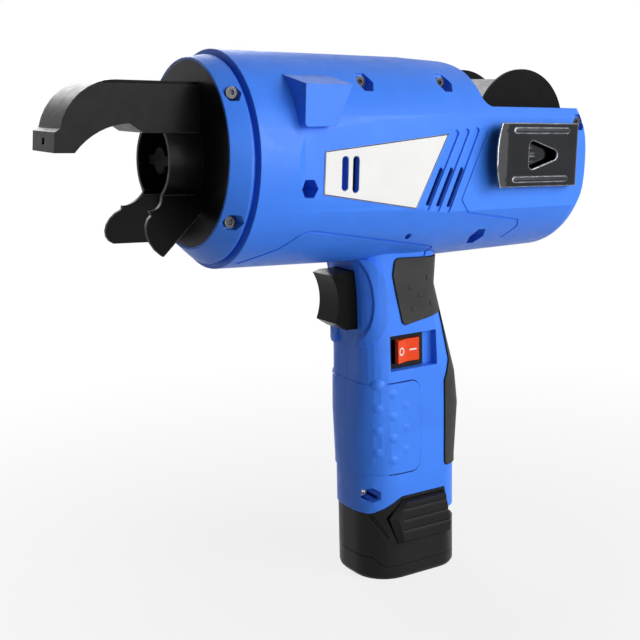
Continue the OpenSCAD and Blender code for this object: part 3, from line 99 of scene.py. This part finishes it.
# Numbers of a Mix node's sockets for colours, which share their names with its other sockets
MIX_FACTOR, MIX_FIRST, MIX_SECOND, MIX_RESULT = 0, 6, 7, 2


def mix_colours(tree, factor, first, second):
    """first where factor is 0 and second where it is 1."""
    inputs = {MIX_FACTOR: factor, MIX_FIRST: first, MIX_SECOND: second}
    return add_node(tree, "ShaderNodeMix", inputs, data_type="RGBA").outputs[MIX_RESULT]


def object_place(tree):
    return add_node(tree, "ShaderNodeTexCoord").outputs["Object"]


def new_material(name):
    """(material, tree, principled shader) with the shader linked to the output."""
    material = bpy.data.materials.new(name)
    material.use_nodes = True
    tree = material.node_tree
    tree.nodes.clear()
    shader = add_node(tree, "ShaderNodeBsdfPrincipled")
    add_node(tree, "ShaderNodeOutputMaterial", {"Surface": shader.outputs["BSDF"]})
    return material, tree, shader


# Surfaces

# Sizes of the patches of colour, of gloss and of the edge colour, which is wear and painted light
PATCH_SIZE, GLOSS_SIZE, EDGE_WEAR_AND_PAINTED_LIGHT_SIZE = 14 * MM, 5 * MM, 4 * MM
# Share by which the gloss varies each way, and the least strength of the edge colour, wear and painted light, on
# an edge
GLOSS_SPREAD, LEAST_EDGE_WEAR_AND_PAINTED_LIGHT = 0.12, 0.35
RELIEF_STRENGTH = 0.6
# Range in which most of a noise texture's values lie
NOISE_RANGE = (0.3, 0.7)
# Cosine of the rounded normal's turn where the edge colour, wear and painted light, starts, and where it is full
EDGE_WEAR_AND_PAINTED_LIGHT_TURN = (0.97, 0.85)


def noise(tree, size, stretch=(1, 1, 1), detail=2.0):
    """Noise from 0 to 1, with features of about that size in metres."""
    mapping = {"Vector": object_place(tree), "Scale": stretch}
    scaled = add_node(tree, "ShaderNodeMapping", mapping).outputs["Vector"]
    texture = {"Vector": scaled, "Scale": 1 / size, "Detail": detail}
    return add_node(tree, "ShaderNodeTexNoise", texture).outputs["Fac"]


def rgba(colour, share=1.0):
    return tuple(channel * share for channel in colour) + (1.0,)


def edge_wear_and_painted_light(tree, radius):
    """(rounded normal, mask that is 1 on sharp outer edges), for the edge colour: wear, painted highlights and
    painted shade.
    """
    rounded = add_node(tree, "ShaderNodeBevel", {"Radius": radius}, samples=4).outputs["Normal"]
    normal = add_node(tree, "ShaderNodeNewGeometry").outputs["Normal"]
    both = {0: rounded, 1: normal}
    turn = add_node(tree, "ShaderNodeVectorMath", both, operation="DOT_PRODUCT").outputs["Value"]
    return rounded, map_range(tree, turn, EDGE_WEAR_AND_PAINTED_LIGHT_TURN, (0.0, 1.0))


def surface(
    name,
    colour,
    roughness,
    grain,
    depth,
    metallic=0.0,
    specular=0.5,
    edge=1.25,
    edge_r=0.5 * MM,
    patch=0.1,
    stretch=(1, 1, 1),
    low=None,
):
    """A moulded, cast or rolled surface: patchy colour and gloss, a fine relief and an edge colour that is wear
    and painted light.

    grain and depth are the relief's size and height, edge is the share of the colour on an edge, which stands for
    wear, for painted highlights on some finishes and for painted shade on the label, patch is how far the colour
    varies, and low is a height and the colour below it."""
    material, tree, shader = new_material(name)
    patches = map_range(tree, noise(tree, PATCH_SIZE), NOISE_RANGE, (0, 1))
    shade = mix_colours(tree, patches, rgba(colour, 1 - patch), rgba(colour, 1 + patch))
    # The edge colour is wear, with painted highlights on some finishes and painted shade on the label
    rounded, edges = edge_wear_and_painted_light(tree, edge_r)
    broken = map_range(tree, noise(tree, EDGE_WEAR_AND_PAINTED_LIGHT_SIZE, detail=4.0), NOISE_RANGE, (LEAST_EDGE_WEAR_AND_PAINTED_LIGHT, 1.0))
    shade = mix_colours(tree, maths(tree, "MULTIPLY", edges, broken), shade, rgba(colour, edge))
    if low:
        split, low_colour = low
        place = add_node(tree, "ShaderNodeSeparateXYZ", {"Vector": object_place(tree)})
        below = maths(tree, "LESS_THAN", place.outputs["Z"], split)
        shade = mix_colours(tree, below, shade, rgba(low_colour))
    tree.links.new(shade, shader.inputs["Base Color"])
    gloss = (roughness * (1 - GLOSS_SPREAD), roughness * (1 + GLOSS_SPREAD))
    gloss = map_range(tree, noise(tree, GLOSS_SIZE), NOISE_RANGE, gloss)
    tree.links.new(gloss, shader.inputs["Roughness"])
    fine = noise(tree, grain, stretch, detail=3.0)
    bump = {"Height": fine, "Distance": depth, "Strength": RELIEF_STRENGTH, "Normal": rounded}
    relief = add_node(tree, "ShaderNodeBump", bump).outputs["Normal"]
    tree.links.new(relief, shader.inputs["Normal"])
    shader.inputs["Metallic"].default_value = metallic
    shader.inputs["Specular IOR Level"].default_value = specular
    return material


BLUE = (0.046, 0.215, 0.88)
BLACK = (0.013, 0.013, 0.0133)
STEEL = (0.5, 0.5, 0.52)

# Finishes of the record's slots, then those of single pieces
FINISHES = {
    "shell_blue": dict(
        colour=BLUE, roughness=0.45, grain=0.9 * MM, depth=0.1 * MM,
        specular=0.3, edge=1.15, patch=0.04,
    ),
    "black_plastic": dict(
        colour=BLACK, roughness=0.36, grain=0.4 * MM, depth=0.03 * MM, specular=0.12, edge=2.5
    ),
    # Its light edge colour is partly worn specks and partly a painted highlight, the bright rim along the arm's
    # top edges
    "black_metal": dict(
        colour=(0.003, 0.003, 0.0032), roughness=0.34, grain=0.8 * MM, depth=0.03 * MM,
        specular=0.1, edge=35.0,
    ),
    "grip_rubber": dict(
        colour=(0.045, 0.045, 0.043), roughness=0.6, grain=0.5 * MM, depth=0.08 * MM,
        specular=0.1, edge=1.4,
    ),
    "rocker_red": dict(
        colour=(0.8, 0.065, 0.012), roughness=0.26, grain=1.5 * MM, depth=0.004 * MM,
        specular=0.15, edge=1.15, patch=0.04,
    ),
    # Its bright edge colour is a painted highlight along the clip's edges and ribs
    "clip_chrome": dict(
        colour=(0.035, 0.036, 0.04), roughness=0.14, grain=0.25 * MM, depth=0.004 * MM,
        metallic=1.0, edge=24.0, edge_r=1.0 * MM, stretch=(0.1, 1, 1),
    ),
    "screw_steel": dict(
        colour=STEEL, roughness=0.25, grain=0.4 * MM, depth=0.01 * MM, metallic=1.0
    ),
    "gear_steel": dict(
        colour=(0.45, 0.45, 0.47), roughness=0.3, grain=0.3 * MM, depth=0.01 * MM, metallic=1.0
    ),
    "wire_steel": dict(
        colour=(0.4, 0.4, 0.42), roughness=0.22, grain=0.4 * MM, depth=0.006 * MM,
        metallic=1.0, patch=0.12,
    ),
    "spring_steel": dict(
        colour=STEEL, roughness=0.25, grain=0.3 * MM, depth=0.004 * MM, metallic=1.0
    ),
    "motor_can": dict(
        colour=(0.2, 0.2, 0.21), roughness=0.35, grain=0.5 * MM, depth=0.01 * MM, metallic=0.9
    ),
    "frame_alloy": dict(
        colour=(0.55, 0.55, 0.57), roughness=0.35, grain=0.4 * MM, depth=0.01 * MM, metallic=1.0
    ),
    "brass": dict(
        colour=(0.6, 0.42, 0.15), roughness=0.28, grain=0.4 * MM, depth=0.008 * MM, metallic=1.0
    ),
    "board_green": dict(
        colour=(0.015, 0.16, 0.06), roughness=0.3, grain=0.6 * MM, depth=0.01 * MM
    ),
    "cell_wrap": dict(colour=(0.03, 0.3, 0.2), roughness=0.25, grain=2 * MM, depth=0.01 * MM),
    "terminal_plastic": dict(
        colour=(0.6, 0.57, 0.48), roughness=0.45, grain=0.4 * MM, depth=0.02 * MM
    ),
    # Its dark edge colour is painted shade, the shadow gap round the label
    "label_film": dict(
        colour=(0.78, 0.78, 0.77), roughness=0.34, grain=1.2 * MM, depth=0.006 * MM,
        specular=0.3, edge=0.15, edge_r=0.6 * MM, patch=0.02,
    ),
    "gloss_black": dict(
        colour=(0.004, 0.004, 0.0042), roughness=0.3, grain=0.6 * MM, depth=0.01 * MM,
        specular=0.06, edge=6.0,
    ),
    "hook_black": dict(
        colour=(0.002, 0.002, 0.0021), roughness=0.5, grain=0.6 * MM, depth=0.01 * MM,
        specular=0.02, edge=6.0,
    ),
    "mark_white": dict(
        colour=(0.85, 0.82, 0.76), roughness=0.4, grain=1.0 * MM, depth=0.004 * MM,
        edge=1.0, patch=0.03,
    ),
    "seam_blue": dict(
        colour=(0.006, 0.02, 0.16), roughness=0.5, grain=0.5 * MM, depth=0.01 * MM,
        specular=0.15, edge=1.0, patch=0.03,
    ),
    # Painted shadow: the dark line round the label
    "label_painted_shadow": dict(
        colour=(0.05, 0.06, 0.12), roughness=0.4, grain=0.5 * MM, depth=0.004 * MM,
        specular=0.2, edge=1.0, patch=0.03,
    ),
    # Dark above 80 mm, in the barrel, and bright below it, in the grip; the bright colour on their rims is a
    # painted highlight
    "dark_screws": dict(
        colour=(0.06, 0.06, 0.064), roughness=0.25, grain=0.4 * MM, depth=0.01 * MM,
        metallic=1.0, edge=9.0, low=(80 * MM, (0.75, 0.75, 0.77)),
    ),
}
materials = {name: surface(name, **finish) for name, finish in FINISHES.items()}

# Nodes that look unlike the rest of their slot
OWN_FINISH = {
    "shell_screws": "dark_screws",
    "nose_screws": "dark_screws",
    "spool": "gloss_black",
    "trigger": "gloss_black",
    "twist_hook": "hook_black",
}


def paint(obj, material):
    if obj.material_slots:
        for slot in obj.material_slots:
            slot.material = material
    else:
        obj.data.materials.append(material)


for subpart in frame["record"]["subparts"]:
    finish = OWN_FINISH.get(subpart["node"], subpart["material_slot"])
    paint(nodes[subpart["node"]], materials[finish])


# Shading of moulded faces

MERGE_DISTANCE = 0.001 * MM
# Turn in degrees above which an edge of the node stays sharp
SHARP_ABOVE = {
    "left_shell": 26,
    "right_shell": 26,
    "left_grip_pad": 26,
    "right_grip_pad": 26,
    "trigger": 45,
    "battery_case": 26,
    "battery_base": 30,
    "left_latch": 26,
    "right_latch": 26,
    "curl_arm": 20,
    "wire_funnel": 20,
}


def soften(obj, limit):
    """Shades the facets of a curved face as one, and keeps edges that turn by more than limit."""
    tree = bpy.data.node_groups.new("soften_" + obj.name, "GeometryNodeTree")
    for side in ("INPUT", "OUTPUT"):
        tree.interface.new_socket("Geometry", in_out=side, socket_type="NodeSocketGeometry")
    turn = add_node(tree, "GeometryNodeInputMeshEdgeAngle").outputs["Unsigned Angle"]
    ends = {0: turn, 1: math.radians(limit)}
    soft = add_node(tree, "FunctionNodeCompare", ends, operation="LESS_THAN").outputs[0]
    steps = (
        ("GeometryNodeMergeByDistance", {"Distance": MERGE_DISTANCE}, {}),
        ("GeometryNodeRemoveAttribute", {"Name": "custom_normal"}, {}),
        ("GeometryNodeSetShadeSmooth", {"Shade Smooth": True}, {}),
        ("GeometryNodeSetShadeSmooth", {"Shade Smooth": soft}, {"domain": "EDGE"}),
    )
    shape = add_node(tree, "NodeGroupInput").outputs[0]
    for kind, inputs, settings in steps:
        shape = add_node(tree, kind, {"Geometry": shape, **inputs}, **settings).outputs[0]
    add_node(tree, "NodeGroupOutput", {0: shape})
    obj.modifiers.new("soften", "NODES").node_group = tree
    weigh = obj.modifiers.new("weigh", "WEIGHTED_NORMAL")
    weigh.mode = "FACE_AREA_WITH_ANGLE"
    weigh.keep_sharp = True


for name, limit in SHARP_ABOVE.items():
    soften(nodes[name], limit)


# Helpers for new pieces

# Distance from the middle plane at which a ray towards a side starts
RAY_START = 100 * MM


def new_piece(name, mesh, body, slot, finish=None):
    piece = bpy.data.objects.new(name, mesh)
    scene.collection.objects.link(piece)
    paint(piece, materials[finish or slot])
    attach(piece, body)
    return piece


def round_angles(count):
    return [2 * math.pi * step / count for step in range(count)]


def loft_mesh(name, stacks, closed=False, smooth=False):
    """A mesh of stacks of rings. Each ring is joined to the next, and the last one to the first
    where the stack is closed. The ends are capped where it isn't."""
    mesh = bpy.data.meshes.new(name)
    build = bmesh.new()
    for stack in stacks:
        rings = [[build.verts.new(point) for point in ring] for ring in stack]
        pairs = list(zip(rings, rings[1:]))
        if closed:
            pairs.append((rings[-1], rings[0]))
        for first, second in pairs:
            for side in range(len(first)):
                other = (side + 1) % len(first)
                build.faces.new((first[side], first[other], second[other], second[side]))
        if not closed:
            build.faces.new(list(reversed(rings[0])))
            build.faces.new(rings[-1])
    bmesh.ops.recalc_face_normals(build, faces=build.faces)
    for face in build.faces:
        face.smooth = smooth
    build.to_mesh(mesh)
    build.free()
    return mesh


def ribbon_mesh(name, spine, normals, width, lift, closed=False):
    """A thin raised line of that width along points on a surface, sunk by twice its height."""
    last = len(spine) - 1
    rings = []
    for index, (point, normal) in enumerate(zip(spine, normals)):
        ahead = spine[0 if closed and index == last else min(index + 1, last)]
        behind = spine[index - 1 if closed else max(index - 1, 0)]
        across = normal.cross((ahead - behind).normalized()).normalized() * width / 2
        rise, sink = normal * lift, normal * -2 * lift
        corners = (across + rise, -across + rise, -across + sink, across + sink)
        rings.append([point + corner for corner in corners])
    return loft_mesh(name, [rings], closed=closed)


def surface_tree(name):
    """The surface of a node, to lay fine pieces on."""
    mesh = nodes[name].data
    faces = [tuple(face.vertices) for face in mesh.polygons]
    return BVHTree.FromPolygons([vert.co for vert in mesh.vertices], faces)


def side_hit(tree, side, x, z):
    """(point, normal) where a ray from that side, 1 for left and -1 for right, meets a surface."""
    return tree.ray_cast(Vector((x, side * RAY_START, z)), -side * ALONG_Y)[:2]


# New pieces


def wound_wire():
    """Close-wound outer layer of tying wire, where the open loops of the frame are."""
    wire_r, pitch = 0.4 * MM, 0.86 * MM
    wire_sides, turn_steps = 8, 40
    low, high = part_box("wire_winding")
    centre = Vector(joints["spool_spin"]["pos_m"])
    radius = (high[2] - low[2]) / 2 - wire_r
    first, last = low[1] + wire_r, high[1] - wire_r
    count = int((last - first) / pitch) * turn_steps
    path = []
    for index in range(count + 1):
        angle = 2 * math.pi * index / turn_steps
        y = first + (last - first) * index / count
        offset = radius * (math.cos(angle) * barrel_x + math.sin(angle) * barrel_z)
        path.append(Vector((centre.x, y, centre.z)) + offset)
    rings = []
    for index, point in enumerate(path):
        along = (path[min(index + 1, count)] - path[max(index - 1, 0)]).normalized()
        across = along.cross(ALONG_Y).normalized()
        up = across.cross(along)
        rings.append(
            [
                point + wire_r * (math.cos(angle) * across + math.sin(angle) * up)
                for angle in round_angles(wire_sides)
            ]
        )
    mesh = loft_mesh("wound_wire", [rings], smooth=True)
    wire = new_piece("wound_wire", mesh, "spool", "wire_steel")
    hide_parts("wire_winding")


def rocker_marks():
    """Off ring on the rocker's front half and on bar on its rear half."""
    # The rocker's face: turned with the grip, and two halves that rise from the pivot to the ends
    tilt = math.radians(9)
    half, dip, rise = 7.3 * MM, 3.4 * MM, 1.4 * MM
    ring_at, ring_outer, ring_inner, ring_stretch = 4.3 * MM, 2.05 * MM, 1.35 * MM, 1.05
    bar_at, bar_half, bar_r = -3.7 * MM, 1.8 * MM, 0.42 * MM
    print_h, round_steps = 0.05 * MM, 40
    pivot = Vector(joints["rocker_tip"]["pos_m"])
    along = Vector((math.cos(tilt), math.sin(tilt), 0))
    out = Vector((-math.sin(tilt), math.cos(tilt), 0))
    slope = math.atan2(rise, half)

    def on_face(outline, centre, height):
        lean = math.copysign(slope, centre)
        run = math.cos(lean) * along + math.sin(lean) * out
        face = math.cos(lean) * out - math.sin(lean) * along
        start = pivot + centre * along + (dip + rise * abs(centre) / half) * out
        return [start + a * run + b * ALONG_Z + height * face for a, b in outline]

    turns = [(math.cos(angle), math.sin(angle)) for angle in round_angles(round_steps)]
    outer, inner = [
        [(radius * a, ring_stretch * radius * b) for a, b in turns]
        for radius in (ring_outer, ring_inner)
    ]
    section = ((outer, 0), (outer, print_h), (inner, print_h), (inner, 0))
    rings = [on_face(outline, ring_at, height) for outline, height in section]
    off = loft_mesh("rocker_mark_off", [rings], closed=True)
    new_piece("rocker_mark_off", off, "rocker", "label_film", "mark_white")
    bar = [(math.copysign(bar_half, a) + bar_r * a, bar_r * b) for a, b in turns]
    on = loft_mesh("rocker_mark_on", [[on_face(bar, bar_at, height) for height in (0, print_h)]])
    new_piece("rocker_mark_on", on, "rocker", "label_film", "mark_white")


def panel_seams():
    """Shut line round the finger panel, on each side of the grip."""
    rear, front, top, bottom, corner = -0.9 * MM, 19 * MM, 104.75 * MM, 56.7 * MM, 5.3 * MM
    width, lift, step = 0.55 * MM, 0.03 * MM, 1 * MM
    corner_steps, rear_steps = 8, 24
    run_steps = int((front - rear - corner) / step)

    def corner_arc(z, start):
        angles = [start + math.pi / 2 * index / corner_steps for index in range(corner_steps + 1)]
        return [
            (rear + corner + corner * math.cos(angle), z + corner * math.sin(angle))
            for angle in angles
        ]

    rear_top, rear_h = top - corner, top - bottom - 2 * corner
    path = [(front - index * step, top) for index in range(run_steps)]
    path += corner_arc(rear_top, math.pi / 2)
    path += [(rear, rear_top - rear_h * index / rear_steps) for index in range(1, rear_steps)]
    path += corner_arc(bottom + corner, math.pi)
    path += [(rear + corner + index * step, bottom) for index in range(1, run_steps)]
    for node, side in (("left_shell", 1), ("right_shell", -1)):
        tree = surface_tree(node)
        spine, normals = zip(*(side_hit(tree, side, x, z) for x, z in path))
        name = node + "_panel_seam"
        mesh = ribbon_mesh(name, spine, normals, width, lift)
        new_piece(name, mesh, "housing", "shell_blue", "seam_blue")


def label_shadow_line():
    """Painted shadow: a dark strip for the shadow gap round the label plate's outer face."""
    inset, width, lift = 0.3 * MM, 0.45 * MM, 0.02 * MM
    # How far a face has to point left, and how near the outer face's plane a point of it lies
    leftward, flat = 0.5, 0.02 * MM
    mesh = nodes["label_plate"].data
    left_faces = [face for face in mesh.polygons if face.normal.y > leftward]
    out = max(left_faces, key=lambda face: face.area).normal.copy()
    run = ALONG_Z.cross(out).normalized()
    up = out.cross(run)
    level = max(vert.co.dot(out) for vert in mesh.vertices)
    outer = [vert.co.copy() for vert in mesh.vertices if vert.co.dot(out) > level - flat]
    hull = convex_hull_2d([(point.dot(run), point.dot(up)) for point in outer])
    ring = [outer[index] for index in hull]
    middle = sum(ring, Vector()) / len(ring)
    spine = []
    for index, point in enumerate(ring):
        sides = []
        for along in (point - ring[index - 1], ring[(index + 1) % len(ring)] - point):
            inward = out.cross(along.normalized())
            sides.append(inward if inward.dot(middle - point) > 0 else -inward)
        mitre = (sides[0] + sides[1]) / (1 + sides[0].dot(sides[1]))
        spine.append(point + inset * mitre)
    border = ribbon_mesh("label_shadow_line", spine, [out] * len(spine), width, lift, closed=True)
    new_piece("label_shadow_line", border, "housing", "label_film", "label_painted_shadow")


def pad_dots():
    """Low dots on the rubber of the upper grip pads."""
    # Forward and up, in millimetres
    places = [(4.5, 152.5), (-1.5, 148.0), (2.5, 141.0), (-7.0, 156.0), (-9.0, 143.0)]
    radius, height = 1.5 * MM, 0.3 * MM
    levels, sides = 4, 20
    for node, side in (("left_grip_pad", 1), ("right_grip_pad", -1)):
        tree = surface_tree(node)
        domes = []
        for x, z in places:
            point, normal = side_hit(tree, side, x * MM, z * MM)
            run = normal.cross(ALONG_Z).normalized()
            up = run.cross(normal)
            rings = []
            for level in range(levels):
                rise = math.pi / 2 * level / levels
                reach = radius * math.cos(rise)
                # The lowest ring is sunk into the pad
                foot = point + normal * (height * math.sin(rise) if level else -height / 2)
                rings.append(
                    [
                        foot + reach * (math.cos(angle) * run + math.sin(angle) * up)
                        for angle in round_angles(sides)
                    ]
                )
            domes.append(rings)
        name = node + "_dots"
        new_piece(name, loft_mesh(name, domes, smooth=True), "housing", "grip_rubber")


def spring_coil(name, node, body, side=0):
    """A spring in the place of its node.

    side keeps one half of a pair: 1 for the left one and -1 for the right one."""
    mesh = nodes[node].data.copy()
    mesh.name = name
    if side:
        build = bmesh.new()
        build.from_mesh(mesh)
        others = [vert for vert in build.verts if vert.co.y * side < 0]
        bmesh.ops.delete(build, geom=others, context="VERTS")
        build.to_mesh(mesh)
        build.free()
    piece = new_piece(name, mesh, body, "spring_steel")
    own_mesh(piece)
    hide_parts(node)


def spring_coils():
    """Springs of the trigger, the pressure lever and the two battery latches."""
    spring_coil(
        "trigger_spring_coil", "trigger_spring", "housing",
    )
    spring_coil(
        "pressure_spring_coil", "pressure_spring", "housing",
    )
    spring_coil(
        "left_latch_coil", "latch_springs", "battery",
        side=1,
    )
    spring_coil(
        "right_latch_coil", "latch_springs", "battery",
        side=-1,
    )


wound_wire()
rocker_marks()
panel_seams()
label_shadow_line()
pad_dots()
spring_coils()


# Camera at the photograph's place: yaw, pitch and roll of its view

CAMERA_AT = Vector((352.6, 505.9, 261.8)) * MM
CAMERA_YAW = math.radians(211.4213)
CAMERA_PITCH = math.radians(-11.88)
CAMERA_ROLL = math.radians(-1.3862)
CAMERA_LENS = 68.54


def set_camera():
    flat = math.cos(CAMERA_PITCH)
    ahead = Vector(
        (math.sin(CAMERA_YAW) * flat, math.cos(CAMERA_YAW) * flat, math.sin(CAMERA_PITCH))
    )
    right = ahead.cross(ALONG_Z).normalized()
    up = right.cross(ahead)
    cos_roll, sin_roll = math.cos(CAMERA_ROLL), math.sin(CAMERA_ROLL)
    side = cos_roll * right + sin_roll * up
    top = cos_roll * up - sin_roll * right
    turn = Matrix((side, top, -ahead)).transposed().to_4x4()
    data = bpy.data.cameras.new("camera")
    data.lens = CAMERA_LENS
    camera = bpy.data.objects.new("camera", data)
    camera.matrix_world = Matrix.Translation(CAMERA_AT) @ turn
    scene.collection.objects.link(camera)
    scene.camera = camera


set_camera()


# Studio: white background, pale floor and soft lamps

WHITE = (1, 1, 1, 1)
# Strength of the world's light on the object, beside the lamps
AMBIENT = 0.07
FLOOR_HALF = 4.0
FLOOR_GREY = (0.45, 0.45, 0.45, 1)
FLOOR_ROUGHNESS = 0.9
# Distances from the object between which the floor turns to the background's white, and its share
FADE_DISTANCE, FADE_SHARE = (0.1, 0.45), (0.82, 1.0)
LAMP_SIZE = 0.7
LAMP_TARGET = Vector((0, 0, 0.18))
# Place and power in watts
LAMPS = {
    "key": ((-0.6, 0.9, 0.65), 9),
    "side": ((-0.05, 1.1, 0.25), 6.5),
    "far_side": ((-0.15, -1.0, 0.5), 7),
}


def seen_directly(tree):
    """1 for rays from the camera, and for those by way of a mirror or glass."""
    path = add_node(tree, "ShaderNodeLightPath").outputs
    first = maths(tree, "MAXIMUM", path["Is Camera Ray"], path["Is Glossy Ray"])
    return maths(tree, "MAXIMUM", first, path["Is Transmission Ray"])


def set_world():
    world = bpy.data.worlds.new("studio")
    scene.world = world
    world.use_nodes = True
    tree = world.node_tree
    tree.nodes.clear()
    strength = map_range(tree, seen_directly(tree), (0.0, 1.0), (AMBIENT, 1.0))
    back = add_node(tree, "ShaderNodeBackground", {"Color": WHITE, "Strength": strength})
    add_node(tree, "ShaderNodeOutputWorld", {"Surface": back.outputs["Background"]})


def set_floor():
    """A pale floor that keeps the object's shadow and turns to white further out."""
    mesh = bpy.data.meshes.new("floor")
    signs = ((-1, -1), (1, -1), (1, 1), (-1, 1))
    corners = [(x * FLOOR_HALF, y * FLOOR_HALF, 0) for x, y in signs]
    mesh.from_pydata(corners, [], [(0, 1, 2, 3)])
    floor = bpy.data.objects.new("floor", mesh)
    scene.collection.objects.link(floor)
    material, tree, shader = new_material("floor")
    shader.inputs["Base Color"].default_value = FLOOR_GREY
    shader.inputs["Roughness"].default_value = FLOOR_ROUGHNESS
    white = add_node(tree, "ShaderNodeEmission", {"Color": WHITE, "Strength": 1.0})
    place = object_place(tree)
    far = add_node(tree, "ShaderNodeVectorMath", {0: place}, operation="LENGTH").outputs["Value"]
    fade = map_range(tree, far, FADE_DISTANCE, FADE_SHARE)
    share = maths(tree, "MULTIPLY", seen_directly(tree), fade)
    ends = {0: share, 1: shader.outputs["BSDF"], 2: white.outputs["Emission"]}
    both = add_node(tree, "ShaderNodeMixShader", ends).outputs["Shader"]
    output = next(node for node in tree.nodes if node.type == "OUTPUT_MATERIAL")
    tree.links.new(both, output.inputs["Surface"])
    mesh.materials.append(material)


def area_lamp(name, place, power):
    data = bpy.data.lights.new(name, "AREA")
    data.shape = "SQUARE"
    data.size = LAMP_SIZE
    data.energy = power
    lamp = bpy.data.objects.new(name, data)
    lamp.location = place
    lamp.rotation_euler = (LAMP_TARGET - Vector(place)).to_track_quat("-Z", "Y").to_euler()
    scene.collection.objects.link(lamp)


set_world()
set_floor()
for name, (place, power) in LAMPS.items():
    area_lamp(name, place, power)
